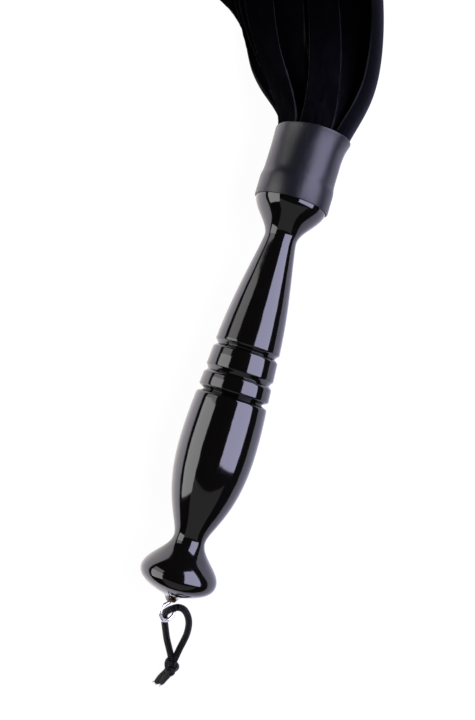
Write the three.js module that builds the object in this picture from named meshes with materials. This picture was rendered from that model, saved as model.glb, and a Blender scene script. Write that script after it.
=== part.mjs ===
import * as THREE from 'three';

// A short many-tailed suede whip lying on a table. Millimetres and degrees.
// The handle's axis runs along +X, from the nib at x = 0 to the tails; +Y is left of the handle, +Z up.
// The table is the plane z = 0.

const DEG = Math.PI / 180;

// turned handle: distances from the nib, and the radius at each
const nibTipRadius = 2.4;
const nibRootRadius = 4;
const nibLength = 2.3;
const pommelAt = 12.6;
const pommelRadius = 18.25;
const neckAt = 30;
const neckRadius = 7.6;
const bellyAt = 75;
const bellyRadius = 18.25;
const grooveHalfWidth = 1.7;
const grooves = [
  { at: 98.7, lipRadius: 17.2, floorRadius: 14.4 },
  { at: 108.4, lipRadius: 16.6, floorRadius: 15 },
  { at: 121.1, lipRadius: 15.8, floorRadius: 14 },
];
const throatAt = 176.8;
const throatRadius = 7.9;
const bulbAt = 194.5;
const bulbRadius = 17.15;
const bulbEnd = 202.3;
const spigotRadius = 10.2;
const spigotStart = 205.2;
const spigotEnd = 226;
const eyeBoreRadius = 1.15;
const eyeBoreDepth = 16;
const handleSides = 32;

// shrunk sleeve over the bulb and the wound header
const sleeveStart = 193.9;
const sleeveEnd = 228.8;
const sleeveWall = 0.65;
const sleeveBulbRadius = 17.98;
const sleeveWaistRadius = 17.25;
const sleeveMouthRadius = 18.3;
const sleeveSides = 32;

// suede header wound round the spigot, and the waxed thread that binds it
const suede = 1.2;
const headerTurns = 2.75;
const headerPitch = 1.45;
const headerInnerRadius = 10.4;
const headerStart = 207;
const headerEnd = 228.4;
const headerStepsPerTurn = 20;
const threadRadius = 0.25;
const threadTurns = 7;
const threadAt = 214;
const threadRingRadius = 16.05;

// tails: three layers of six, laid flat and swept to the left
const tailStart = 229.2;
const tailLength = 400;
const tailWidth = 15.5;
const tailStations = 22;
const tailStrips = 3;
const layers = [
  { name: 'outer', radius: 15.6, rank: 2.5 },
  { name: 'middle', radius: 13.5, rank: 1.5 },
  { name: 'inner', radius: 11.4, rank: 0.5 },
];
const sectors = [
  { name: 'left_upper', angle: 30, column: 1, side: 1 },
  { name: 'top', angle: 90, column: 0, side: 1 },
  { name: 'right_upper', angle: 150, column: -1, side: 1 },
  { name: 'right_lower', angle: 210, column: -1, side: -1 },
  { name: 'bottom', angle: 270, column: 0, side: -1 },
  { name: 'left_lower', angle: 330, column: 1, side: -1 },
];
const staveGap = 0.7;
const rowPitch = 1.6;
const flattenOver = 105;
const columnPitchNear = 16.5;
const columnPitchGain = 16;
const columnPitchOver = 60;
const sweepNear = 40;
const sweepNearOver = 45;
const sweepFar = 20;

// screw eye in the nib
const wireRadius = 0.8;
const eyeRadius = 4.25;
const eyeCentre = -4.9;
const eyeLean = 45;
const eyeShankEnd = 15;

// wrist cord: up its left strand from the knot, through the eye, over the top and down the right strand
const cordRadius = 1.6;
const cordSides = 8;
const cordLoop = [
  [-26.3, -7.4, 4.7],
  [-23, -5.6, 5.9],
  [-19, -3.5, 8.2],
  [-14.6, -1.7, 11.2],
  [-10.4, -0.1, 14],
  [-7.2, 0.9, 16],
  [-4.8, 0.2, 18],
  [-2.7, -1.8, 19.9],
  [-1.3, -4.2, 20.3],
  [-1.7, -6.9, 19],
  [-3.9, -9.2, 16.8],
  [-6.9, -10.8, 14.4],
  [-10.3, -11.6, 12.1],
  [-14, -11.8, 9.9],
  [-17.8, -11.4, 7.8],
  [-21.6, -10.8, 6.1],
  [-25.4, -10.3, 4.8],
];
const knotCentre = [-31.7, -9.4, 3.8];
const knotHalfSizes = [4.4, 3.7, 3.5];
const knotTurn = 17;
const cordEndRadius = 1.3;
const cordEnds = [
  [[-36.5, -7.9, 1.8], [-39, -6.3, 1.6], [-42.8, -4.8, 1.6]],
  [[-36.5, -9.6, 4.1], [-38.7, -8.5, 3.9], [-41.8, -7.1, 3.6]],
];

const axisHeight = Math.max(pommelRadius, bellyRadius, sleeveMouthRadius);

const lacquer = new THREE.Color(0.012, 0.012, 0.014);
const sleeveBlack = new THREE.Color(0.05, 0.05, 0.065);
const suedeBlack = new THREE.Color(0.02, 0.02, 0.024);
const threadBlack = new THREE.Color(0.03, 0.03, 0.03);
const steel = new THREE.Color(0.75, 0.75, 0.76);
const cordBlack = new THREE.Color(0.025, 0.025, 0.025);

const part = new THREE.Group();

// everything that is centred on the handle's axis
const onAxis = new THREE.Group();
onAxis.position.z = axisHeight;
part.add(onAxis);

function add(group, name, geometry, colour, roughness, metalness) {
  const material = new THREE.MeshStandardMaterial({ color: colour, roughness, metalness });
  const mesh = new THREE.Mesh(geometry, material);
  mesh.name = name;
  group.add(mesh);
  return mesh;
}

// points along a smooth stretch of profile between two stations, with a handle at each end
function ease(from, fromHandle, toHandle, to, pieces) {
  const points = [from, fromHandle, toHandle, to].map(([x, r]) => new THREE.Vector2(x, r));
  return new THREE.CubicBezierCurve(...points).getPoints(pieces).map((p) => [p.x, p.y]);
}

// turns a profile of [distance, radius] points about the handle's axis
function turned(profile, sides) {
  const points = profile.map(([x, r]) => new THREE.Vector2(r, x));
  const geometry = new THREE.LatheGeometry(points, sides);
  geometry.rotateZ(-Math.PI / 2);
  return geometry;
}

function round(curve, radius, sides, steps) {
  const shape = new THREE.Shape();
  shape.absarc(0, 0, radius, 0, 2 * Math.PI, false);
  return new THREE.ExtrudeGeometry(shape, { extrudePath: curve, steps, curveSegments: sides });
}

function through(points) {
  return new THREE.CatmullRomCurve3(points.map((p) => new THREE.Vector3(...p)));
}

function grooveProfile({ at, lipRadius, floorRadius }) {
  return [
    [at - grooveHalfWidth, lipRadius],
    [at - 0.7 * grooveHalfWidth, lipRadius - 0.35],
    [at, floorRadius],
    [at + 0.7 * grooveHalfWidth, lipRadius - 0.5],
    [at + grooveHalfWidth, lipRadius - 0.15],
  ];
}

function handleProfile() {
  const [first, second, third] = grooves;
  const taperStart = third.at + grooveHalfWidth;
  const pommel = [pommelAt, pommelRadius];
  const neck = [neckAt, neckRadius];
  const belly = [bellyAt, bellyRadius];
  const throat = [throatAt, throatRadius];
  return [
    [eyeBoreDepth, 0],
    [eyeBoreDepth, eyeBoreRadius],
    [0, eyeBoreRadius],
    [0, nibTipRadius - 0.3],
    [0.3, nibTipRadius],
    ...ease([nibLength, nibRootRadius], [4.7, 9.9], [6.6, pommelRadius], pommel, 8),
    ...ease(pommel, [18.9, pommelRadius], [23.7, neckRadius], neck, 8).slice(1),
    ...ease(neck, [36, neckRadius], [46, bellyRadius], belly, 9).slice(1),
    ...ease(belly, [84, bellyRadius], [91, 17.8], [96.9, 17.25], 3).slice(1, -1),
    ...grooveProfile(first),
    ...grooveProfile(second),
    ...grooveProfile(third),
    ...ease([taperStart, 15.64], [146, 14.2], [171, 8.2], throat, 8).slice(1),
    ...ease(throat, [182.8, throatRadius], [188, bulbRadius], [bulbAt, bulbRadius], 7).slice(1),
    [bulbEnd, bulbRadius],
    [spigotStart, bulbRadius - 1.2],
    [spigotStart, spigotRadius],
    [spigotEnd - 0.6, spigotRadius],
    [spigotEnd, spigotRadius - 0.6],
    [spigotEnd, 0],
  ];
}

function sleeveProfile() {
  const bulbSide = [202.5, sleeveBulbRadius];
  const waistStart = [209, sleeveWaistRadius];
  const waistEnd = [219, sleeveWaistRadius];
  const mouth = [sleeveEnd, sleeveMouthRadius];
  const outside = [
    [sleeveStart, sleeveBulbRadius - 0.2],
    [sleeveStart + 0.3, sleeveBulbRadius],
    ...ease(bulbSide, [205, sleeveBulbRadius], [205.5, sleeveWaistRadius], waistStart, 4),
    ...ease(waistEnd, [223.5, 17.4], [226, 17.8], mouth, 4),
  ];
  const inside = outside.slice(1).map(([x, r]) => [x, r - sleeveWall]);
  inside[0] = [sleeveStart, sleeveBulbRadius - sleeveWall];
  return [...outside, ...inside.reverse(), outside[0]];
}

function headerRoll() {
  const steps = headerTurns * headerStepsPerTurn;
  const spiral = (offset) =>
    Array.from({ length: steps + 1 }, (unused, i) => {
      const turn = i / headerStepsPerTurn;
      const radius = headerInnerRadius + offset + headerPitch * turn;
      const angle = 2 * Math.PI * turn;
      return new THREE.Vector2(radius * Math.cos(angle), radius * Math.sin(angle));
    });
  const shape = new THREE.Shape([...spiral(suede), ...spiral(0).reverse()]);
  const geometry = new THREE.ExtrudeGeometry(shape, { depth: headerEnd - headerStart, bevelEnabled: false });
  geometry.rotateY(Math.PI / 2);
  return geometry;
}

function threadProfile() {
  const outside = [];
  for (let turn = 0; turn < threadTurns; turn += 1) {
    const x = threadAt + 2 * threadRadius * turn;
    outside.push([x, threadRingRadius], [x + threadRadius, threadRingRadius + threadRadius]);
  }
  const end = threadAt + 2 * threadRadius * threadTurns;
  outside.push([end, threadRingRadius]);
  const inner = threadRingRadius - threadRadius;
  return [...outside, [end, inner], [threadAt, inner], [threadAt, threadRingRadius]];
}

const smooth = (t) => {
  const clamped = Math.min(Math.max(t, 0), 1);
  return clamped * clamped * (3 - 2 * clamped);
};

// heading of the heap's centre line, in degrees to the left, at a distance past the mouth
const heading = (run) =>
  sweepNear * (1 - Math.exp(-run / sweepNearOver)) + sweepFar * (run / tailLength) ** 2;

const columnPitch = (run) => columnPitchNear + columnPitchGain * (1 - Math.exp(-run / columnPitchOver));

// centre line of the heap, sampled every millimetre past the mouth
const centreLine = [{ x: tailStart, y: 0 }];
for (let run = 0; run < 1.3 * tailLength; run += 1) {
  const last = centreLine[run];
  const turn = heading(run + 0.5) * DEG;
  centreLine.push({ x: last.x + Math.cos(turn), y: last.y + Math.sin(turn) });
}

// a point of a tail: across from -1 to 1 over its width, depth from -1 (inner face) to 1 (outer face)
function tailPoint(layer, sector, run, across, depth) {
  const flat = smooth(run / flattenOver);
  const halfStave = 30 - (staveGap / 2 / layer.radius) / DEG;
  const angle = (sector.angle + across * halfStave) * DEG;
  const radius = layer.radius + (depth * suede) / 2;
  const row = rowPitch * layer.rank + (depth * suede) / 2;
  const laidSide = sector.column * columnPitch(run) - (sector.side * across * tailWidth) / 2;
  const laidHeight = rowPitch * 3 - (rowPitch - suede) / 2 + sector.side * row;
  const side = (1 - flat) * radius * Math.cos(angle) + flat * laidSide;
  const height = (1 - flat) * (axisHeight + radius * Math.sin(angle)) + flat * laidHeight;
  const at = centreLine[Math.floor(run)];
  const rest = run - Math.floor(run);
  const turn = heading(run) * DEG;
  return new THREE.Vector3(
    at.x + rest * Math.cos(turn) - side * Math.sin(turn),
    at.y + rest * Math.sin(turn) + side * Math.cos(turn),
    height,
  );
}

// distances past the mouth of a tail's stations: closer together near the mouth, the last at its cut end
function tailRuns(layer, sector) {
  const shared = Array.from(
    { length: tailStations },
    (unused, i) => 0.85 * tailLength * (i / (tailStations - 1)) ** 1.35,
  );
  let travelled = 0;
  let run = 0;
  let last = tailPoint(layer, sector, 0, 0, 0);
  while (travelled < tailLength) {
    run += 1;
    const next = tailPoint(layer, sector, run, 0, 0);
    travelled += next.distanceTo(last);
    last = next;
  }
  return [...shared, run];
}

function tail(layer, sector) {
  const faces = [];
  const positions = [];
  const around = [];
  for (let i = 0; i <= tailStrips; i += 1) {
    around.push([(2 * i) / tailStrips - 1, 1]);
  }
  for (let i = tailStrips; i >= 0; i -= 1) {
    around.push([(2 * i) / tailStrips - 1, -1]);
  }
  const count = around.length;
  const runs = tailRuns(layer, sector);
  for (const run of runs) {
    for (const [across, depth] of around) {
      positions.push(...tailPoint(layer, sector, run, across, depth).toArray());
    }
  }
  for (let station = 0; station < tailStations; station += 1) {
    for (let i = 0; i < count; i += 1) {
      const a = station * count + i;
      const b = station * count + ((i + 1) % count);
      if (i < tailStrips) {
        faces.push(a, b, a + count, b, b + count, a + count);
      } else {
        faces.push(a, b, b + count, a, b + count, a + count);
      }
    }
  }
  const end = tailStations * count;
  for (let i = 0; i < tailStrips; i += 1) {
    const opposite = count - 1 - i;
    faces.push(i, opposite, i + 1, i + 1, opposite, opposite - 1);
    faces.push(end + i, end + i + 1, end + opposite, end + i + 1, end + opposite - 1, end + opposite);
  }
  const geometry = new THREE.BufferGeometry();
  geometry.setAttribute('position', new THREE.Float32BufferAttribute(positions, 3));
  geometry.setIndex(faces);
  geometry.computeVertexNormals();
  return geometry;
}

// the eye's wire: straight shank along the axis, then most of a circle in the upright plane, leaned over later
function eyeWire() {
  const points = [
    [eyeShankEnd, 0, 0],
    [8, 0, 0],
    [1.5, 0, 0],
    [-0.3, 0, 0.5],
  ];
  for (let angle = 45; angle <= 325; angle += 20) {
    points.push([eyeCentre + eyeRadius * Math.cos(angle * DEG), 0, eyeRadius * Math.sin(angle * DEG)]);
  }
  return through(points);
}

add(onAxis, 'handle', turned(handleProfile(), handleSides), lacquer, 0.15, 0);
add(onAxis, 'collar_sleeve', turned(sleeveProfile(), sleeveSides), sleeveBlack, 0.5, 0);
const header = add(onAxis, 'header_roll', headerRoll(), suedeBlack, 0.95, 0);
header.position.x = headerStart;
add(onAxis, 'thread_whipping', turned(threadProfile(), 24), threadBlack, 0.8, 0);
const eye = add(onAxis, 'screw_eye', round(eyeWire(), wireRadius, 4, 44), steel, 0.25, 1);
eye.rotation.x = -eyeLean * DEG;

for (const sector of sectors) {
  for (const layer of layers) {
    add(part, `tail_${sector.name}_${layer.name}`, tail(layer, sector), suedeBlack, 0.95, 0);
  }
}

const cord = round(through(cordLoop), cordRadius, cordSides / 2, 34);
add(part, 'wrist_cord', cord, cordBlack, 0.7, 0);

const knotShape = new THREE.SphereGeometry(1, 14, 10);
knotShape.scale(...knotHalfSizes);
const knot = add(part, 'cord_knot', knotShape, cordBlack, 0.7, 0);
knot.position.set(...knotCentre);
knot.rotation.z = knotTurn * DEG;

cordEnds.forEach((points, i) => {
  const end = round(through(points), cordEndRadius, cordSides / 2, 5);
  add(part, `cord_end_${i + 1}`, end, cordBlack, 0.8, 0);
});

// origin under the middle of everything but the cord
part.updateMatrixWorld(true);
const box = new THREE.Box3();
part.traverse((object) => {
  if (object.isMesh && !object.name.includes('cord')) {
    box.expandByObject(object);
  }
});
const middle = box.getCenter(new THREE.Vector3());
part.position.set(-middle.x, -middle.y, -box.min.z);

export default part;
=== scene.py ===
"""A short suede multi-tail whip lying on a pale table, seen from above.

Shapes are worked out in whip millimetres: x along the handle from the nib, y to its left, z above the table.
"""
import math

import bpy
import numpy as np
from mathutils import Matrix, Vector

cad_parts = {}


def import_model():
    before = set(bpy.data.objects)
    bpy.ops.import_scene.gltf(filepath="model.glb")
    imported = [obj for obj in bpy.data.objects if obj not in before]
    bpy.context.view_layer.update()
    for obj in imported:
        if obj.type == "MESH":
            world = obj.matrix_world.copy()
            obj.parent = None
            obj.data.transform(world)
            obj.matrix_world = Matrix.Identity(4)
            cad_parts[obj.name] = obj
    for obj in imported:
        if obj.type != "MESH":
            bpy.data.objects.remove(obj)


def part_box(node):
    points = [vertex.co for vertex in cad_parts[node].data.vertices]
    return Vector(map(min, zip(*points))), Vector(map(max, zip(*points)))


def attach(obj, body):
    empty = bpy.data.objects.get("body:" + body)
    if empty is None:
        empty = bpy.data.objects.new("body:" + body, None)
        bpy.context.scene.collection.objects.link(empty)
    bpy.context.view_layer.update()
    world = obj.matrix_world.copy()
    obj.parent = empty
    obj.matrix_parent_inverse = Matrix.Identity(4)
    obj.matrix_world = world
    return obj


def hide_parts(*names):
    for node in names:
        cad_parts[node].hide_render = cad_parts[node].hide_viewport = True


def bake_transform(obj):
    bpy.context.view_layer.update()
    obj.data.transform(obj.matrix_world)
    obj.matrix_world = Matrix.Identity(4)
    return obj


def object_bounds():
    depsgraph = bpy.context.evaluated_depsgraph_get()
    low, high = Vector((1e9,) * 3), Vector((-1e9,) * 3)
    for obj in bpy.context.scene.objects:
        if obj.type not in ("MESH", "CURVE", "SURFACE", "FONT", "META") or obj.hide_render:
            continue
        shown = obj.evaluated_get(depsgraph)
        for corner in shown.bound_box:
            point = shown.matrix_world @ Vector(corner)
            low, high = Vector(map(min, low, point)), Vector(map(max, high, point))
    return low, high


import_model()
cad_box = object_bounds()

MM = 0.001
low, high = (Vector(corner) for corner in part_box("handle"))
ORIGIN = np.array([low.x, (low.y + high.y) / 2, 0.0])
AXIS_HEIGHT = (low.z + high.z) / 2 / MM
RNG = np.random.default_rng(11)


def world(points):
    return np.asarray(points, float) * MM + ORIGIN


# ---------------------------------------------------------------- camera

CAMERA_ABOVE = 86.5      # the point of the handle under the lens
CAMERA_LEFT = 2.8
CAMERA_HEIGHT = 487.2
CAMERA_PITCH = 3.6       # leans towards the tails
CAMERA_ROLL = 16.9       # the handle runs up and to the right
LENS = 50.0


def add_camera():
    data = bpy.data.cameras.new("camera")
    data.lens = LENS
    data.sensor_width = 36.0
    data.clip_start = 0.01
    camera = bpy.data.objects.new("camera", data)
    bpy.context.scene.collection.objects.link(camera)
    pitch = math.radians(CAMERA_PITCH)
    roll = math.radians(CAMERA_ROLL)
    forward = Vector((math.sin(pitch), 0, -math.cos(pitch)))
    along = Vector((math.cos(pitch), 0, math.sin(pitch)))
    up = math.cos(roll) * along + math.sin(roll) * Vector((0, 1, 0))
    right = forward.cross(up)
    turn = Matrix((right, up, -forward)).transposed().to_4x4()
    place = Vector(world([CAMERA_ABOVE, CAMERA_LEFT, CAMERA_HEIGHT]))
    camera.matrix_world = Matrix.Translation(place) @ turn
    bpy.context.scene.camera = camera


add_camera()

# ---------------------------------------------------------------- node helpers


class Shader:
    """A Principled material with short ways to add textures to it."""

    def __init__(self, name, **sockets):
        self.material = bpy.data.materials.new(name)
        self.material.use_nodes = True
        self.tree = self.material.node_tree
        self.surface = self.tree.nodes["Principled BSDF"]
        for key, value in sockets.items():
            self.surface.inputs[key.replace("_", " ")].default_value = value

    def node(self, kind, **inputs):
        made = self.tree.nodes.new(kind)
        for key, value in inputs.items():
            self.feed(made.inputs[key.replace("_", " ")], value)
        return made

    def feed(self, socket, value):
        if isinstance(value, bpy.types.NodeSocket):
            self.tree.links.new(value, socket)
        else:
            socket.default_value = value

    def coords(self, kind="Object", scale=(1, 1, 1)):
        source = self.node("ShaderNodeTexCoord").outputs[kind]
        return self.node("ShaderNodeMapping", Vector=source, Scale=scale).outputs["Vector"]

    def noise(self, coords, scale, detail=3.0, rough=0.5, distortion=0.0):
        settings = {"Scale": scale, "Detail": detail, "Roughness": rough, "Distortion": distortion}
        made = self.node("ShaderNodeTexNoise", Vector=coords, **settings)
        return made.outputs["Fac"]

    def band(self, value, low_in, high_in, low_out, high_out):
        ends = {"From_Min": low_in, "From_Max": high_in, "To_Min": low_out, "To_Max": high_out}
        return self.node("ShaderNodeMapRange", Value=value, **ends).outputs["Result"]

    def math(self, operation, first, second):
        made = self.tree.nodes.new("ShaderNodeMath")
        made.operation = operation
        self.feed(made.inputs[0], first)
        self.feed(made.inputs[1], second)
        return made.outputs[0]

    def mix(self, factor, first, second):
        made = self.tree.nodes.new("ShaderNodeMix")
        made.data_type = "RGBA"
        self.feed(made.inputs["Factor"], factor)
        self.feed(made.inputs[6], first)
        self.feed(made.inputs[7], second)
        return made.outputs[2]

    def bump(self, height, strength, distance, normal=None):
        made = self.node("ShaderNodeBump", Height=height, Strength=strength, Distance=distance)
        if normal is not None:
            self.feed(made.inputs["Normal"], normal)
        return made.outputs["Normal"]

    def set(self, **sockets):
        for key, value in sockets.items():
            self.feed(self.surface.inputs[key.replace("_", " ")], value)


def grey(value):
    return (value, value, value, 1.0)


# ---------------------------------------------------------------- materials

BRAID_STRANDS = 8
BRAID_PITCH = 2.1


def lacquer_material():
    """Gloss black lacquer, worn thin over the amber wood of the nib."""
    s = Shader("black_lacquer", IOR=1.5)
    place = s.coords()
    grain = s.noise(s.coords(scale=(12, 240, 240)), 4.0, 5.0, 0.6, 0.4)
    black = s.mix(grain, (0.0007, 0.0006, 0.0006, 1), (0.0022, 0.0018, 0.0016, 1))
    along = s.node("ShaderNodeSeparateXYZ", Vector=place).outputs["X"]
    ragged = s.band(s.noise(place, 900.0, 2.0), 0, 1, -0.0005, 0.0005)
    bare, covered = ORIGIN[0] + 0.0004, ORIGIN[0] + 0.0017
    nib = s.band(s.math("ADD", along, ragged), bare, covered, 1, 0)
    amber = s.mix(s.noise(place, 700.0, 3.0), (0.018, 0.01, 0.002, 1), (0.15, 0.08, 0.014, 1))
    s.set(Base_Color=s.mix(nib, black, amber))
    s.set(Roughness=s.band(s.noise(place, 45.0, 4.0), 0.2, 0.8, 0.045, 0.11))
    ripple = s.bump(s.noise(s.coords(scale=(1, 2.2, 2.2)), 60.0, 2.0), 0.25, 0.0004)
    dust = s.bump(s.noise(place, 2600.0, 1.0), 0.02, 0.0001, ripple)
    s.set(Normal=dust)
    return s.material


def sleeve_material():
    """Satin shrunk rubber with a faint lengthwise draw."""
    s = Shader("satin_sleeve", IOR=1.38)
    place = s.coords()
    draw = s.noise(s.coords(scale=(30, 260, 260)), 5.0, 3.0)
    mottle = s.noise(place, 160.0, 4.0, 0.6)
    s.set(Base_Color=s.mix(mottle, (0.003, 0.003, 0.0045, 1), (0.006, 0.006, 0.008, 1)))
    s.set(Roughness=s.band(draw, 0.25, 0.75, 0.3, 0.39))
    fine = s.bump(s.noise(place, 2200.0, 2.0), 0.14, 0.0002)
    s.set(Normal=s.bump(draw, 0.12, 0.0003, fine))
    return s.material


def suede_material(name, dark, light, sheen):
    """Split-leather nap: short fibres brushed into light and dark patches, with painted light that makes it
    paler next to the collar.
    """
    s = Shader(name, Sheen_Weight=sheen, Sheen_Roughness=0.35, Sheen_Tint=(0.7, 0.68, 0.85, 1), IOR=1.35)
    s.surface.inputs["Specular IOR Level"].default_value = 0.0
    strip = s.coords("UV")
    brushed = s.noise(s.coords("UV", (1, 0.35, 1)), 130.0, 4.0, 0.6, 0.8)
    fibre = s.noise(strip, 3400.0, 3.0, 0.7)
    patches = s.math("MULTIPLY", brushed, 0.62)
    hairs = s.math("MULTIPLY", fibre, 0.38)
    nap = s.band(s.math("ADD", patches, hairs), 0.32, 0.68, 0, 1)
    along = s.node("ShaderNodeSeparateXYZ", Vector=strip).outputs["Y"]
    ragged = s.band(brushed, 0, 1, -0.01, 0.01)
    # painted light: the nap's colour is raised next to the collar and fades further along, standing in for
    # light that falls off along the tails
    painted_light_near_collar = s.band(s.math("ADD", along, ragged), 0.03, 0.065, 1, 0.2)
    s.set(Base_Color=s.mix(s.math("MULTIPLY", nap, painted_light_near_collar), dark, light))
    s.set(Roughness=s.band(fibre, 0.2, 0.8, 0.82, 1.0))
    coarse = s.bump(brushed, 0.3, 0.0004)
    s.set(Normal=s.bump(fibre, 0.55, 0.00022, coarse))
    return s.material


def cord_material(name, dark, light, shine):
    """Round waxed braid: strands cross in two directions round the cord."""
    s = Shader(name, IOR=1.45)
    s.surface.inputs["Specular IOR Level"].default_value = shine
    split = s.node("ShaderNodeSeparateXYZ", Vector=s.coords("UV"))
    around = s.math("MULTIPLY", split.outputs["X"], BRAID_STRANDS * 2 * math.pi)
    along = s.math("MULTIPLY", split.outputs["Y"], 2 * math.pi / (BRAID_PITCH * MM))
    over = s.math("SINE", s.math("ADD", around, along), 0.0)
    under = s.math("SINE", s.math("SUBTRACT", around, along), 0.0)
    braid = s.band(s.math("MULTIPLY", over, under), -1, 1, 0, 1)
    fuzz = s.noise(s.coords(), 2600.0, 3.0, 0.7)
    s.set(Base_Color=s.mix(braid, dark, light))
    s.set(Roughness=s.band(fuzz, 0.2, 0.8, 0.26, 0.5))
    s.set(Normal=s.bump(fuzz, 0.3, 0.00012, s.bump(braid, 0.8, 0.0003)))
    return s.material


def steel_material():
    s = Shader("bright_steel", Metallic=1.0)
    place = s.coords()
    tarnish = s.noise(place, 900.0, 4.0, 0.6)
    s.set(Base_Color=s.mix(tarnish, (0.62, 0.61, 0.6, 1), (0.9, 0.9, 0.9, 1)))
    s.set(Roughness=s.band(tarnish, 0.2, 0.8, 0.22, 0.4))
    s.set(Normal=s.bump(s.noise(place, 2400.0, 2.0), 0.08, 0.0001))
    return s.material


def table_material():
    """A pale board that glows warmly on the whip's left, less on its right, and is dark far to the left. Its
    right side also has painted shade.
    """
    s = Shader("pale_table", IOR=1.45)
    place = s.coords()
    leftward = s.node("ShaderNodeSeparateXYZ", Vector=place).outputs["Y"]
    side = s.band(leftward, ORIGIN[1] - 0.03, ORIGIN[1] + 0.03, 0, 1)
    lit = s.band(leftward, ORIGIN[1] + 0.2, ORIGIN[1] + 0.27, 1, 0)
    pale = s.mix(s.noise(place, 6.0, 3.0), grey(0.86), grey(0.9))
    # painted shade: the board's base colour is a mid grey on the whip's right and pale on its left
    s.set(Base_Color=s.mix(lit, grey(0.1), s.mix(side, grey(0.5), pale)))
    s.set(Emission_Color=s.mix(lit, grey(0.0), s.mix(side, (0.25, 0.25, 0.28, 1), (1, 0.93, 0.84, 1))))
    s.surface.inputs["Emission Strength"].default_value = 1.2
    s.set(Roughness=s.band(s.noise(place, 40.0, 2.0), 0, 1, 0.55, 0.7))
    return s.material


def sweep_material():
    """A sheet that glows white, so that shadows on it all but vanish."""
    s = Shader("white_sweep", Roughness=0.7, Emission_Strength=0.95)
    s.surface.inputs["Specular IOR Level"].default_value = 0.1
    s.surface.inputs["Emission Color"].default_value = (1, 1, 1, 1)
    place = s.coords()
    s.set(Base_Color=s.mix(s.noise(place, 6.0, 3.0), grey(0.05), grey(0.06)))
    return s.material


LACQUER = lacquer_material()
SLEEVE = sleeve_material()
SUEDE = suede_material("black_suede", (0.0002, 0.0002, 0.0003, 1), (0.0034, 0.0032, 0.0042, 1), 0.018)
# a lit copy of the suede for the steep tail that faces the right soft box: strong sheen and its own base
# colours stand in for the light it catches
SUEDE_LIT_COPY = suede_material("lit_copy_suede", (0.0005, 0.0005, 0.0007, 1), (0.0024, 0.0023, 0.003, 1), 0.21)
SUEDE_EDGE = suede_material("cut_suede_edge", (0.001, 0.001, 0.0012, 1), (0.024, 0.024, 0.026, 1), 0.02)
CORD = cord_material("waxed_braid", (0.0002, 0.0002, 0.0002, 1), (0.0012, 0.0012, 0.0012, 1), 0.12)
# a lighter copy of the braid for the frayed ends: painted light that the loose fibres catch
CORD_FRAY_LIT = cord_material("frayed_braid_lit_copy", (0.002, 0.002, 0.002, 1), (0.02, 0.02, 0.019, 1), 0.15)
STEEL = steel_material()
TABLE = table_material()
SWEEP = sweep_material()

# ---------------------------------------------------------------- mesh helpers


def build(name, points, faces, uvs, materials, indices=None, sharp=40.0):
    """A mesh from whip-millimetre points, with one UV per face corner and edges kept sharp past an angle."""
    mesh = bpy.data.meshes.new(name)
    mesh.from_pydata(world(points).tolist(), [], [list(map(int, face)) for face in faces])
    for material in materials:
        mesh.materials.append(material)
    if indices is not None:
        mesh.polygons.foreach_set("material_index", np.asarray(indices, np.int32))
    layer = mesh.uv_layers.new(name="strip")
    layer.data.foreach_set("uv", np.asarray(uvs, np.float32).ravel())
    mesh.polygons.foreach_set("use_smooth", np.ones(len(mesh.polygons), bool))
    mesh.set_sharp_from_angle(angle=math.radians(sharp))
    piece = bpy.data.objects.new(name, mesh)
    bpy.context.scene.collection.objects.link(piece)
    return piece


def skin(rings, lengths, closed=False):
    """Faces and corner UVs over a grid of points, rings[station][around], which may also join end to end."""
    stations, around = rings.shape[:2]
    faces, uvs = [], []
    for i in range(stations if closed else stations - 1):
        following = (i + 1) % stations
        near, far = lengths[i], lengths[i + 1]
        here, there = i * around, following * around
        for j in range(around):
            beside = (j + 1) % around
            faces.append((here + j, here + beside, there + beside, there + j))
            left, right = j / around, (j + 1) / around
            uvs += [(left, near), (right, near), (right, far), (left, far)]
    return faces, uvs


def cap(faces, uvs, corners, length):
    faces.append(corners)
    uvs += [(0.5, length)] * len(corners)


def travel(points):
    steps = np.linalg.norm(np.diff(points, axis=0), axis=1)
    return np.concatenate([[0], np.cumsum(steps)]) * MM


def turned(name, profile, material, sides=160, wobble=None):
    """Turns (distance, radius) points about the handle's axis. An open profile gets a face at each end."""
    profile = np.asarray(profile, float)
    closed = np.allclose(profile[0], profile[-1])
    if closed:
        profile = profile[:-1]
    angles = np.linspace(0, 2 * math.pi, sides, endpoint=False)
    x = np.repeat(profile[:, :1], sides, axis=1)
    r = np.repeat(profile[:, 1:], sides, axis=1)
    if wobble is not None:
        x, r = wobble(x, r, angles)
    rings = np.stack([x, r * np.cos(angles), AXIS_HEIGHT + r * np.sin(angles)], axis=-1)
    flat = np.column_stack([profile[:, 0], profile[:, 1], np.zeros(len(profile))])
    lengths = travel(np.vstack([flat, flat[:1]]))
    faces, uvs = skin(rings, lengths, closed)
    if not closed:
        last = (len(profile) - 1) * sides
        cap(faces, uvs, list(range(sides))[::-1], 0.0)
        cap(faces, uvs, [last + j for j in range(sides)], lengths[-1])
    return build(name, rings.reshape(-1, 3), faces, uvs, [material])


def tube(name, line, radius, material, sides=20):
    """A round tube along a line of points, closed at both ends."""
    rings = tube_rings(line, radius, sides)
    faces, uvs = skin(rings, travel(line))
    last = (len(line) - 1) * sides
    cap(faces, uvs, list(range(sides))[::-1], 0.0)
    cap(faces, uvs, [last + j for j in range(sides)], travel(line)[-1])
    return build(name, rings.reshape(-1, 3), faces, uvs, [material])


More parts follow.
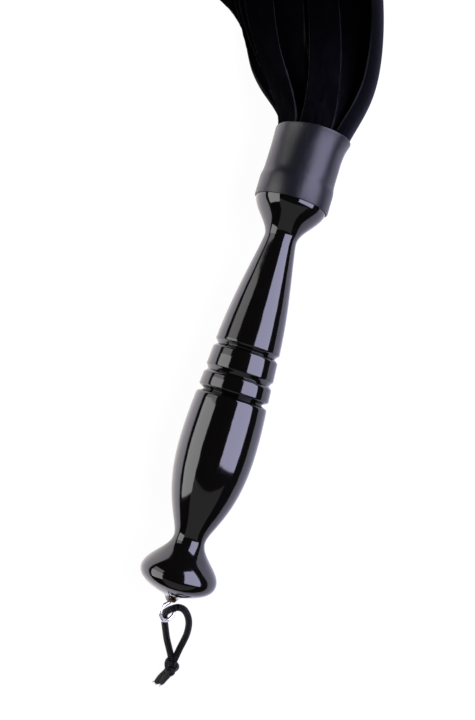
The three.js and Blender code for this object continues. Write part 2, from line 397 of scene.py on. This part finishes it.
def tube_rings(line, radii, sides):
    """Rings of points round a line, carried along it without twisting."""
    line = np.asarray(line, float)
    radii = np.broadcast_to(radii, len(line))
    tangents = np.gradient(line, axis=0)
    tangents /= np.linalg.norm(tangents, axis=1)[:, None]
    start = np.cross(tangents[0], [0.3, 0.2, 1.0])
    side = start / np.linalg.norm(start)
    angles = np.linspace(0, 2 * math.pi, sides, endpoint=False)
    rings = []
    for point, tangent, radius in zip(line, tangents, radii):
        side = side - tangent * np.dot(side, tangent)
        side /= np.linalg.norm(side)
        other = np.cross(tangent, side)
        rings.append(point + radius * (np.outer(np.cos(angles), side) + np.outer(np.sin(angles), other)))
    return np.array(rings)


def join(name, parts, materials):
    """One piece from several (points, faces, uvs, material index) lots."""
    points, faces, uvs, indices = [], [], [], []
    for lot_points, lot_faces, lot_uvs, index in parts:
        offset = len(points)
        points.extend(np.asarray(lot_points).reshape(-1, 3).tolist())
        faces.extend([[corner + offset for corner in face] for face in lot_faces])
        uvs.extend(lot_uvs)
        indices.extend([index] * len(lot_faces))
    return build(name, np.array(points), faces, uvs, materials, indices)


def through(points, count):
    """A smooth line of evenly spaced points through the given ones."""
    knots = np.asarray(points, float)
    ends = np.vstack([2 * knots[0] - knots[1], knots, 2 * knots[-1] - knots[-2]])
    fine = []
    for a, b, c, d in zip(ends[:-3], ends[1:-2], ends[2:-1], ends[3:]):
        for t in np.linspace(0, 1, 30, endpoint=False):
            fine.append(0.5 * (2 * b + (c - a) * t + (2 * a - 5 * b + 4 * c - d) * t ** 2
                               + (3 * b - a - 3 * c + d) * t ** 3))
    fine = np.array(fine + [knots[-1]])
    far = travel(fine)
    even = np.linspace(0, far[-1], count)
    return np.column_stack([np.interp(even, far, fine[:, k]) for k in range(3)])


def ease(start, first, second, end, pieces=24):
    """A smooth stretch of profile between two stations, with a handle at each end."""
    t = np.linspace(0, 1, pieces + 1)[:, None]
    a, b, c, d = (np.array(p, float) for p in (start, first, second, end))
    return (a * (1 - t) ** 3 + 3 * b * (1 - t) ** 2 * t + 3 * c * (1 - t) * t ** 2 + d * t ** 3).tolist()


# ---------------------------------------------------------------- wrist cord

CORD_RADIUS = 1.6
CORD_AT_EYE = (-4.8, 0.2, 18)
CORD_LOOP = [
    (-29, -8.8, 4.1), (-26.3, -7.4, 4.7), (-23, -5.6, 5.9), (-19, -3.5, 8.2), (-14.6, -1.7, 11.2),
    (-10.4, -0.1, 14), (-7.2, 0.9, 16), CORD_AT_EYE, (-2.7, -1.8, 19.9), (-1.3, -4.2, 20.3),
    (-1.7, -6.9, 19), (-3.9, -9.2, 16.8), (-6.9, -10.8, 14.4), (-10.3, -11.6, 12.1), (-14, -11.8, 9.9),
    (-17.8, -11.4, 7.8), (-21.6, -10.8, 6.1), (-25.4, -10.3, 4.8), (-28.5, -9.9, 4.1),
]
CORD_ENDS = [
    [(-33.0, -8.6, 2.5), (-35.8, -7.6, 1.8), (-38.6, -6.1, 1.6), (-41.7, -4.9, 1.6)],
    [(-33.0, -9.9, 4.1), (-35.7, -9.2, 4.1), (-38.0, -8.0, 3.8), (-40.9, -6.9, 3.4)],
]
CORD_END_RADIUS = 1.45
CORD_END_STEPS = 48
FIBRES_PER_END = 26
FIBRE_STEPS = 7
KNOT_CORD_RADIUS = 1.85
KNOT_MIDDLE = np.array([-31.8, -9.4, 3.8])
KNOT_TURN = 17.0
KNOT_SCALE = (0.98, 0.68, 1.5)
BRAID_DEPTH = 0.1


def braided(line, radii, sides=48):
    """Rings round a cord whose surface rises and dips with its braid."""
    rings = tube_rings(line, radii, sides)
    around = np.linspace(0, 2 * math.pi, sides, endpoint=False)[None, :] * BRAID_STRANDS
    along = (travel(line) / MM)[:, None] * 2 * math.pi / BRAID_PITCH
    relief = BRAID_DEPTH * (np.sin(around + along) * np.sin(around - along) - 1) / 2
    middle = np.asarray(line)[:, None, :]
    outward = rings - middle
    reach = np.linalg.norm(outward, axis=-1, keepdims=True)
    return middle + outward * (1 + relief[..., None] / reach)


def fray(line, count):
    """Loose fibres that fan out of a cut cord end."""
    tip = line[-1]
    ahead = (line[-1] - line[-4]) / np.linalg.norm(line[-1] - line[-4])
    lots = []
    for _ in range(count):
        spread = RNG.normal(0, 0.42, 3)
        spread[2] = abs(spread[2]) * 0.4
        root = tip + RNG.normal(0, 0.5, 3) * (0.3, 1, 0.7) - ahead * 0.9
        reach = RNG.uniform(0.9, 1.5)
        steps = np.linspace(0, 1, FIBRE_STEPS)[:, None]
        fibre = root + ahead * reach * steps + spread * steps ** 2 * reach * 0.6
        fibre[:, 2] = np.maximum(fibre[:, 2] - 0.5 * steps[:, 0] ** 2, 0.2)
        rings = tube_rings(fibre, np.linspace(0.26, 0.12, FIBRE_STEPS), 6)
        faces, uvs = skin(rings, travel(fibre))
        lots.append((rings, faces, uvs, 0))
    return lots


def knot_lots():
    """An overhand knot pulled tight: three lobes of cord that pass over and under each other."""
    turn = np.linspace(0, 2 * math.pi, 181)
    line = np.column_stack([
        KNOT_SCALE[0] * (np.sin(turn) + 2 * np.sin(2 * turn)),
        KNOT_SCALE[1] * (np.cos(turn) - 2 * np.cos(2 * turn)),
        -KNOT_SCALE[2] * np.sin(3 * turn),
    ])
    spin = math.radians(KNOT_TURN)
    spun = np.column_stack([
        line[:, 0] * math.cos(spin) - line[:, 1] * math.sin(spin),
        line[:, 0] * math.sin(spin) + line[:, 1] * math.cos(spin),
        line[:, 2],
    ]) + KNOT_MIDDLE
    rings = braided(spun, KNOT_CORD_RADIUS)
    sides = rings.shape[1]
    faces, uvs = skin(rings, travel(spun))
    last = (len(rings) - 1) * sides
    cap(faces, uvs, list(range(sides))[::-1], 0.0)
    cap(faces, uvs, [last + j for j in range(sides)], 0.0)
    return [(rings, faces, uvs, 0)]


def add_cord():
    line = through(CORD_LOOP, 260)
    rings = braided(line, CORD_RADIUS + 0.05)
    faces, uvs = skin(rings, travel(line))
    loop = build("cord_loop", rings.reshape(-1, 3), faces, uvs, [CORD])
    knot = join("cord_overhand_knot", knot_lots(), [CORD])
    ends = []
    for number, points in enumerate(CORD_ENDS, 1):
        stub = through(points, CORD_END_STEPS)
        swell = np.interp(np.linspace(0, 1, CORD_END_STEPS), [0, 0.6, 0.9, 1], [1, 1.1, 1.04, 0.8])
        rings = braided(stub, CORD_END_RADIUS * swell)
        faces, uvs = skin(rings, travel(stub))
        sides = rings.shape[1]
        last = (CORD_END_STEPS - 1) * sides
        cap(faces, uvs, [last + j for j in range(sides)], 0.0)
        lots = [(rings, faces, uvs, 0)] + fray(stub, FIBRES_PER_END)
        # the frayed ends take the lighter braid copy, painted light
        end = join(f"cord_frayed_end_{number}", lots, [CORD_FRAY_LIT])
        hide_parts(f"cord_end_{number}")
        ends.append(end)
    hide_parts("wrist_cord")
    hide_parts("cord_knot")
    for piece in (loop, knot, *ends):
        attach(piece, "wrist_loop")


add_cord()

# ---------------------------------------------------------------- handle and screw eye


def groove(at, lip, floor):
    """A V-groove with rounded lips, lower on the side towards the tails."""
    near_side = [(at - 2.1, lip), (at - 1.6, lip - 0.12), (at - 1.25, lip - 0.45), (at - 0.3, floor + 0.2)]
    far_side = [(at + 0.35, floor + 0.15), (at + 1.35, lip - 0.85), (at + 1.75, lip - 0.42)]
    return [*near_side, (at, floor), *far_side, (at + 2.3, lip - 0.22)]


def add_handle():
    """Profile points are (distance from the nib, radius)."""
    pommel, neck, belly, throat = (12.6, 18.25), (30, 7.6), (75, 18.25), (176.8, 7.9)
    profile = [
        (0.0, 1.6), (0.0, 2.1), (0.12, 2.3), (0.4, 2.45), (1.4, 3.1),
        *ease((2.3, 4.0), (4.7, 9.9), (6.6, 18.25), pommel),
        *ease(pommel, (18.9, 18.25), (23.7, 7.6), neck)[1:],
        *ease(neck, (36, 7.6), (46, 18.25), belly, 36)[1:],
        *ease(belly, (84, 18.25), (91, 17.8), (96.6, 17.25))[1:-1],
        *groove(98.7, 17.2, 14.4),
        *groove(108.4, 16.6, 15.0),
        *groove(121.1, 15.85, 14.0),
        *ease((124.2, 15.55), (146, 14.2), (171, 8.2), throat, 40),
        *ease(throat, (182.8, 7.9), (188, 17.15), (194.5, 17.15), 30)[1:],
        (202, 17.15), (205.2, 15.9), (205.2, 10.2), (225.4, 10.2), (226, 9.6),
    ]
    handle = turned("turned_handle", profile, LACQUER)
    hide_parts("handle")
    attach(handle, "handle")


EYE_CENTRE = -4.9
EYE_RADIUS = 4.25
EYE_LEAN = math.radians(45)
EYE_WIRE = 0.88


def add_eye():
    """A straight shank in the nib, then most of a circle, leaned over to the left."""
    points = [(6.0, 0.0), (1.5, 0.0), (-0.3, 0.5)]
    for angle in range(45, 330, 15):
        around = math.radians(angle)
        points.append((EYE_CENTRE + EYE_RADIUS * math.cos(around), EYE_RADIUS * math.sin(around)))
    leaned = [(x, rise * math.sin(EYE_LEAN), AXIS_HEIGHT + rise * math.cos(EYE_LEAN)) for x, rise in points]
    eye = tube("eye_wire", through(leaned, 150), EYE_WIRE, STEEL)
    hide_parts("screw_eye")
    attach(eye, "handle")


add_handle()
add_eye()

# ---------------------------------------------------------------- collar and what it hides

SLEEVE_START = 193.9
SLEEVE_WALL = 0.65
MOUTH = 228.8
FLARE_START = 216
FLARE_TOWARDS = math.radians(165)
FLARE_STRETCH = 0.95
FLARE_LEAN = 0.75        # how much further along the mouth reaches on that side


def sleeve_wobble(x, r, angles):
    """The shrunk sleeve follows lumps under it, and its mouth is cut and stretched unevenly."""
    nearly = np.clip((x - FLARE_START) / (MOUTH - FLARE_START), 0, 1)
    right = np.cos(angles - FLARE_TOWARDS)
    r = r + 0.09 * np.sin(3 * angles + 0.09 * x) + 0.05 * np.sin(7 * angles - 0.21 * x)
    r = r + nearly ** 3 * FLARE_STRETCH * right
    x = x + nearly ** 2 * FLARE_LEAN * right
    return x, r


def add_sleeve():
    outside = [
        (SLEEVE_START, 17.65), (193.95, 17.85), (194.2, 17.98),
        *ease((202.5, 17.98), (205, 17.98), (205.5, 17.25), (209, 17.25), 16),
        *ease((219, 17.25), (223.5, 17.35), (226, 17.75), (228.3, 18.22), 16),
        (228.62, 18.2), (MOUTH, 18.0),
    ]
    inside = [(x, r - SLEEVE_WALL) for x, r in outside[2:-2]]
    inside[0] = (SLEEVE_START, 17.35)
    profile = outside + [(MOUTH, 17.75)] + inside[::-1]
    sleeve = turned("shrunk_sleeve", profile + profile[:1], SLEEVE, 192, sleeve_wobble)
    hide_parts("collar_sleeve")
    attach(sleeve, "handle")


HEADER_START = 207
HEADER_END = 222
HEADER_STEPS = 200
HEADER_RADIUS = 10.4     # of the spiral's inner end
HEADER_TURNS = 2.75
HEADER_PITCH = 1.45


def add_header():
    """The rolled header, and the thread round it, which keeps its CAD mesh."""
    turns = np.linspace(0, HEADER_TURNS, HEADER_STEPS)
    angles = 2 * math.pi * turns
    radii = HEADER_RADIUS + HEADER_PITCH * turns
    inner, outer = 0.05, 1.15
    corners = [(HEADER_START, inner), (HEADER_END, inner), (HEADER_END, outer), (HEADER_START, outer)]
    edges = []
    for x, offset in corners:
        across, up = (radii + offset) * np.cos(angles), (radii + offset) * np.sin(angles)
        edges.append(np.column_stack([np.full(HEADER_STEPS, x), across, AXIS_HEIGHT + up]))
    rings = np.stack(edges, axis=1)
    faces, uvs = skin(rings, travel(edges[0]))
    last = (HEADER_STEPS - 1) * len(corners)
    cap(faces, uvs, [3, 2, 1, 0], 0.0)
    cap(faces, uvs, [last + j for j in range(len(corners))], 0.0)
    header = build("rolled_header", rings.reshape(-1, 3), faces, uvs, [SUEDE])
    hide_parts("header_roll")
    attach(header, "handle")
    thread = bpy.data.objects["thread_whipping"]
    thread.data.materials.clear()
    thread.data.materials.append(CORD)


add_sleeve()
add_header()

# ---------------------------------------------------------------- suede tails

TAIL_START = 229.2
TAIL_LENGTH = 400.0
TAIL_HIDDEN = 6.0
TAIL_WIDTH = 15.5
SUEDE_THICK = 1.2
EDGE_BEVEL = 0.955
EDGE_RAGGED = 0.05
UNDERSIDE_SHIFT = 0.05   # gives the underside its own patches of nap
STATION_STEP = 1.5
LAYER_RADIUS = {"outer": 15.6, "middle": 13.5, "inner": 11.4}
SECTOR_ANGLE = {
    "left_upper": 30, "top": 90, "right_upper": 150,
    "right_lower": 210, "bottom": 270, "left_lower": 330,
}
HALF_STAVE = math.radians(28.4)    # half of the arc that a tail takes up in the collar's mouth

# how far left of the heap's middle each tail lies at so many mm past the mouth, from the table up
LAID_AT = (20, 40, 60, 80, 100, 400)
LAID = [
    ("bottom", "outer", 3, 6, 8, 9, 10, 14),
    ("left_lower", "outer", 19, 24, 23.5, 25, 38, 34),
    ("right_lower", "outer", -16.5, -22, -28.5, -34, -38, -34),
    ("left_lower", "middle", 23.8, 27.3, 24.8, 23.3, 22, 36),
    ("right_lower", "middle", -17, -23, -29, -35, -39, -38),
    ("bottom", "middle", -3, -6, -9, -11, -13, -9),
    ("right_lower", "inner", -15, -19, -22, -26, -28, -29),
    ("left_lower", "inner", 16.8, 18.8, 19.2, 19.4, 19, 28),
    ("bottom", "inner", 0, 1, 2, 2, 3, 4),
    ("right_upper", "inner", -13, -17, -22, -27, -31, -20),
    ("top", "inner", -1, -2, -4, -7, -10, 2),
    ("left_upper", "inner", 11, 11.4, 9, 4.6, 0, 20),
    ("left_upper", "middle", 19.5, 23.5, 24, 22, 18, 28),
    ("right_upper", "middle", -14, -18.5, -24, -29, -33, -27),
    ("top", "middle", -0.8, -4, -8.5, -13, -17, -12),
    ("right_upper", "outer", -24.3, -30.2, -36, -41.2, -44.5, -38),
    ("left_upper", "outer", 19.7, 23.4, 23.2, 19.5, 15, 12),
    ("top", "outer", -0.8, -3.6, -7.8, -12.6, -17, -6),
]
STEEP_TAIL = ("right_upper", "outer")
USUAL_FLATTEN = 85
FLATTEN_OVER = {("left_upper", "outer"): 100, ("right_upper", "middle"): 62, ("top", "outer"): 62}
UPPER_FALL = 105
LOWER_FALL = 45
STEEP_FLATTEN_FROM, STEEP_FLATTEN_OVER = 80, 110
STEEP_RAISED = 8
WANDER, WANDER_FROM, WANDER_OVER = 1.3, 85, 100
DRAPE_GAP = 0.12
LIFT_AT_COLLAR, LIFT_PER_MM = 0.35, 0.22    # the most that a tail may be lifted, and how that grows
SETTLE_PASSES = 140
SETTLE_DROP = 0.012
RIPPLE_FROM, RIPPLE_OVER = 60, 80
LOOSE_LOWER, LOOSE_UPPER = 0.25, 0.9
HEAP_TURN, HEAP_TURN_OVER, HEAP_LATE_TURN = 40, 45, 20
PAST_END = 560           # no tail runs this far
CELL = 0.5
GRID_LOW = np.array([220.0, -70.0])
GRID_SIZE = (760, 900)
table_top = np.zeros(GRID_SIZE)


def smooth(t):
    t = np.clip(t, 0, 1)
    return t * t * (3 - 2 * t)


def heading(run):
    """How far the heap's centre line has turned to the left, in radians."""
    run = np.maximum(run, 0)
    early = HEAP_TURN * (1 - np.exp(-run / HEAP_TURN_OVER))
    return np.radians(early + HEAP_LATE_TURN * (run / TAIL_LENGTH) ** 2)


def centre_line(run):
    step = 0.5
    fine = np.arange(0, PAST_END, step)
    turn = heading(fine[:-1] + step / 2)
    x = np.concatenate([[0], np.cumsum(np.cos(turn) * step)])
    y = np.concatenate([[0], np.cumsum(np.sin(turn) * step)])
    ahead = TAIL_START + np.where(run < 0, run, np.interp(run, fine, x))
    return ahead, np.interp(run, fine, y)


def cells(x, y):
    """The height map's cells that points lie over."""
    i = np.clip(((x - GRID_LOW[0]) / CELL).astype(int), 0, GRID_SIZE[0] - 1)
    j = np.clip(((y - GRID_LOW[1]) / CELL).astype(int), 0, GRID_SIZE[1] - 1)
    return i, j


def slow(run, seed, waves=4):
    """A gentle wandering curve along a tail, different for each seed."""
    draw = np.random.default_rng(seed)
    total = np.zeros_like(run)
    for k in range(1, waves + 1):
        swing = draw.normal(0, 1 / k)
        total += swing * np.sin(run / TAIL_LENGTH * 2 * math.pi * k * 0.8 + draw.uniform(0, 2 * math.pi))
    return total


def laid_side(run, start, laid):
    """Distance left of the heap's middle along a tail, eased between the places in its row of LAID."""
    reach, sigma = 24, 7.0
    keys = np.array([-10, 0, *LAID_AT, PAST_END])
    fine = np.arange(-10, PAST_END, 1.0)
    kernel = np.exp(-0.5 * (np.arange(-reach, reach + 1) / sigma) ** 2)
    padded = np.pad(np.interp(fine, keys, [start, start, *laid, laid[-1]]), reach, mode="edge")
    return np.interp(run, fine, np.convolve(padded, kernel / kernel.sum(), mode="valid"))


def tail_middle(sector, layer, laid, run, across, seed):
    """The middle surface of a tail before it is draped: station by station, across its width."""
    angle = math.radians(SECTOR_ANGLE[sector])
    radius = LAYER_RADIUS[layer]
    upper = 1 if SECTOR_ANGLE[sector] < 180 else -1
    steep = (sector, layer) == STEEP_TAIL
    if steep:
        flat = smooth((run - STEEP_FLATTEN_FROM) / STEEP_FLATTEN_OVER)[:, None]
    else:
        flat = smooth(run / FLATTEN_OVER.get((sector, layer), USUAL_FLATTEN))[:, None]
    fall = smooth(run / (UPPER_FALL if upper > 0 else LOWER_FALL))[:, None]
    rest = SUEDE_THICK / 2 + STEEP_RAISED * steep * (1 - flat)
    spread = angle + across * HALF_STAVE
    middle_y, middle_z = radius * math.cos(angle), AXIS_HEIGHT + radius * math.sin(angle)
    wander = slow(run, seed) * WANDER * smooth((run - WANDER_FROM) / WANDER_OVER)
    centre = (laid_side(run, middle_y, laid) + wander)[:, None]
    arc_y = radius * np.cos(spread)[None, :] - middle_y
    arc_z = radius * np.sin(spread)[None, :] + AXIS_HEIGHT - middle_z
    flat_y = -upper * across[None, :] * TAIL_WIDTH / 2
    side = centre + (1 - flat) * arc_y + flat * flat_y
    height = (1 - fall) * middle_z + fall * rest + (1 - flat) * arc_z
    x, y = centre_line(run)
    turn = heading(run)
    px = x[:, None] - side * np.sin(turn)[:, None]
    py = y[:, None] + side * np.cos(turn)[:, None]
    return np.stack([px, py, height], axis=-1)


def refined(surface, finer_along, finer_across):
    """A grid of points with so many times as many points each way."""
    stations, strips = surface.shape[:2]
    along = np.linspace(0, stations - 1, finer_along * stations)
    across = np.linspace(0, strips - 1, finer_across * strips)
    first = np.floor(along).astype(int).clip(0, stations - 2)
    part = (along - first)[:, None, None]
    rows = surface[first] * (1 - part) + surface[first + 1] * part
    first = np.floor(across).astype(int).clip(0, strips - 2)
    part = (across - first)[None, :, None]
    return rows[:, first] * (1 - part) + rows[:, first + 1] * part


def drape(surface, run, seed, loose):
    """Lifts a tail over what already lies on the table, bending gently, then adds it to the heap."""
    i, j = cells(surface[..., 0], surface[..., 1])
    need = table_top[i, j] + SUEDE_THICK / 2 + DRAPE_GAP - surface[..., 2]
    need = np.clip(need, 0, (LIFT_AT_COLLAR + LIFT_PER_MM * np.maximum(run, 0))[:, None])
    ripple = np.maximum(slow(run * 2.6, seed + 50, 5), 0) * loose * smooth((run - RIPPLE_FROM) / RIPPLE_OVER)
    need = np.maximum(need, ripple[:, None])
    lift = need.copy()
    for _ in range(SETTLE_PASSES):
        along = np.pad(lift, ((1, 1), (0, 0)), mode="edge")
        beside = np.pad(lift, ((0, 0), (1, 1)), mode="edge")
        level = 0.3 * (along[:-2] + along[2:]) + 0.2 * (beside[:, :-2] + beside[:, 2:])
        lift = np.maximum(need, level - SETTLE_DROP)
    draped = surface.copy()
    draped[..., 2] += lift
    dense = refined(draped, 4, 5)
    i, j = cells(dense[..., 0], dense[..., 1])
    np.maximum.at(table_top, (i, j), dense[..., 2] + SUEDE_THICK / 2)
    return draped


def roughen(surface, run, seed):
    """Makes the cut edges of a tail a little uneven."""
    sideways = np.gradient(surface, axis=1)
    draw = np.random.default_rng(seed)
    for edge, sign in ((0, -1), (-1, 1)):
        ragged = draw.normal(0, EDGE_RAGGED, len(run)) + 0.1 * np.sin(run / 7 + draw.uniform(0, 6))
        outward = sideways[:, edge] / np.linalg.norm(sideways[:, edge], axis=-1, keepdims=True)
        surface[:, edge] += outward * (sign * ragged)[:, None]


def tail_skin(across, stations, lengths):
    """Faces, corner UVs and material indices of a flat strip with bevelled edges and square-cut ends."""
    faces, uvs, indices = [], [], []
    strips = len(across)
    count = 2 * strips
    sideways = [(across[min(j, count - 1 - j)] + 1) / 2 * TAIL_WIDTH * MM for j in range(count)]
    for i in range(stations - 1):
        here, there = i * count, (i + 1) * count
        for j in range(count):
            beside = (j + 1) % count
            faces.append((here + j, there + j, there + beside, here + beside))
            shift = (j >= strips) * UNDERSIDE_SHIFT
            near, other = sideways[j] + shift, sideways[beside] + shift
            uvs += [(near, lengths[i]), (near, lengths[i + 1]), (other, lengths[i + 1]), (other, lengths[i])]
            indices.append(1 if j % strips in (0, strips - 2, strips - 1) else 0)
    last = (stations - 1) * count
    fine = 0.001
    for j in range(strips - 1):
        faces.append((j, j + 1, count - 2 - j, count - 1 - j))
        uvs += [(j * fine, 0), (j * fine + fine, 0), (j * fine + fine, fine), (j * fine, fine)]
        faces.append((last + j, last + count - 1 - j, last + count - 2 - j, last + j + 1))
        uvs += [(j * fine, 0), (j * fine, fine), (j * fine + fine, fine), (j * fine + fine, 0)]
        indices += [1, 1]
    return faces, uvs, indices


def add_tail(sector, layer, laid, order):
    across = np.concatenate([[-1, -EDGE_BEVEL], np.linspace(-0.8, 0.8, 9), [EDGE_BEVEL, 1]])
    run = np.arange(-TAIL_HIDDEN, PAST_END - 40, STATION_STEP)
    trial = tail_middle(sector, layer, laid, run, np.array([0.0]), order)[:, 0]
    far = travel(trial) / MM
    run = run[far <= TAIL_LENGTH + TAIL_HIDDEN]
    surface = tail_middle(sector, layer, laid, run, across, order)
    loose = LOOSE_LOWER if SECTOR_ANGLE[sector] > 180 else LOOSE_UPPER
    surface = drape(surface, run, order, loose)
    tangent = np.gradient(surface, axis=0)
    sideways = np.gradient(surface, axis=1)
    normal = np.cross(sideways, tangent)
    normal /= np.linalg.norm(normal, axis=-1, keepdims=True)
    roughen(surface, run, order + 200)
    half = np.full(len(across), SUEDE_THICK / 2)
    half[[0, -1]] *= 0.5
    first_face = surface + normal * half[None, :, None]
    second_face = surface - normal * half[None, :, None]
    rings = np.concatenate([first_face, second_face[:, ::-1]], axis=1)
    lengths = travel(surface[:, len(across) // 2])
    faces, uvs, indices = tail_skin(across, len(run), lengths)
    # the steep tail takes the lit copy of the suede: painted light
    face = SUEDE_LIT_COPY if (sector, layer) == STEEP_TAIL else SUEDE
    piece = build(f"suede_{sector}_{layer}", rings.reshape(-1, 3), faces, uvs, [face, SUEDE_EDGE], indices)
    node = f"tail_{sector}_{layer}"
    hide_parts(node)
    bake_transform(piece)


for order, (sector, layer, *laid) in enumerate(LAID):
    add_tail(sector, layer, laid, order)

# ---------------------------------------------------------------- table and light


BOARD_LEFT, BOARD_RIGHT, BOARD_ENDS = 0.055, 0.145, 0.14
BOARD_HEIGHT = -0.0002
SWEEP_HALF = 3.0
SWEEP_HEIGHT = -0.0001


def board(name, corners, height, material):
    mesh = bpy.data.meshes.new(name)
    mesh.from_pydata([(x, y, height) for x, y in corners], [], [(0, 1, 2, 3)])
    mesh.materials.append(material)
    piece = bpy.data.objects.new(name, mesh)
    bpy.context.scene.collection.objects.link(piece)
    return piece


def add_table():
    """A board a little larger than the whip lights it from below. The wide sweep is what the camera sees."""
    low, high = (Vector(corner) for corner in cad_box)
    back, front = low.x - BOARD_ENDS, high.x + BOARD_ENDS
    right, left = low.y - BOARD_RIGHT, high.y + BOARD_LEFT
    corners = [(back, right), (front, right), (front, left), (back, left)]
    table = board("table", corners, BOARD_HEIGHT, TABLE)
    table.visible_camera = False
    corners = [(-SWEEP_HALF, -SWEEP_HALF), (SWEEP_HALF, -SWEEP_HALF),
               (SWEEP_HALF, SWEEP_HALF), (-SWEEP_HALF, SWEEP_HALF)]
    sweep = board("sweep", corners, SWEEP_HEIGHT, SWEEP)
    sweep.visible_diffuse = False
    sweep.visible_glossy = False
    sweep.visible_shadow = False


LIGHT_DISTANCE = 1.2


def add_strip(name, zeniths, reach, radiance, colour):
    """A soft box parallel to the handle, between two angles from overhead (left is positive).

    Its ends lie so many light distances along the handle from the handle's middle.
    """
    middle = math.radians(sum(zeniths) / 2)
    half = math.radians(abs(zeniths[0] - zeniths[1]) / 2)
    data = bpy.data.lights.new(name, "AREA")
    data.shape = "RECTANGLE"
    data.size = LIGHT_DISTANCE * (reach[1] - reach[0])
    data.size_y = 2 * LIGHT_DISTANCE * math.tan(half)
    data.energy = radiance * math.pi * data.size * data.size_y
    data.color = colour
    light = bpy.data.objects.new(name, data)
    bpy.context.scene.collection.objects.link(light)
    away = Vector((0, math.sin(middle), math.cos(middle)))
    along = Vector((1, 0, 0))
    turn = Matrix((along, away.cross(along), away)).transposed().to_4x4()
    place = Vector(world([100, 0, AXIS_HEIGHT])) + LIGHT_DISTANCE * (away + along * sum(reach) / 2)
    light.matrix_world = Matrix.Translation(place) @ turn
    light.visible_camera = False


def add_light():
    """Soft boxes left and right, a dim strip behind the nib, and a room that is white only to the camera."""
    add_strip("left_box", (85, 43.5), (-0.69, 0.16), 4.6, (0.98, 0.98, 1.0))
    add_strip("left_spill", (83, 47), (0.16, 0.55), 2.5, (0.98, 0.98, 1.0))
    add_strip("right_box", (-20.5, -73), (-0.23, 1.8), 9.0, (0.71, 0.7, 1.0))
    add_strip("ceiling", (45, -60), (-8.0, -0.6), 0.42, (1.0, 0.98, 1.0))
    room = bpy.data.worlds.new("room")
    room.use_nodes = True
    nodes, links = room.node_tree.nodes, room.node_tree.links
    backdrop = nodes.new("ShaderNodeBackground")
    backdrop.inputs["Color"].default_value = (1.0, 1.0, 1.0, 1)
    dim = nodes["Background"]
    dim.inputs["Color"].default_value = (1.0, 0.95, 0.9, 1)
    dim.inputs["Strength"].default_value = 0.028
    choose = nodes.new("ShaderNodeMixShader")
    links.new(nodes.new("ShaderNodeLightPath").outputs["Is Camera Ray"], choose.inputs["Fac"])
    links.new(dim.outputs["Background"], choose.inputs[1])
    links.new(backdrop.outputs["Background"], choose.inputs[2])
    links.new(choose.outputs["Shader"], nodes["World Output"].inputs["Surface"])
    bpy.context.scene.world = room
    bpy.context.scene.view_settings.view_transform = "Standard"


add_table()
add_light()
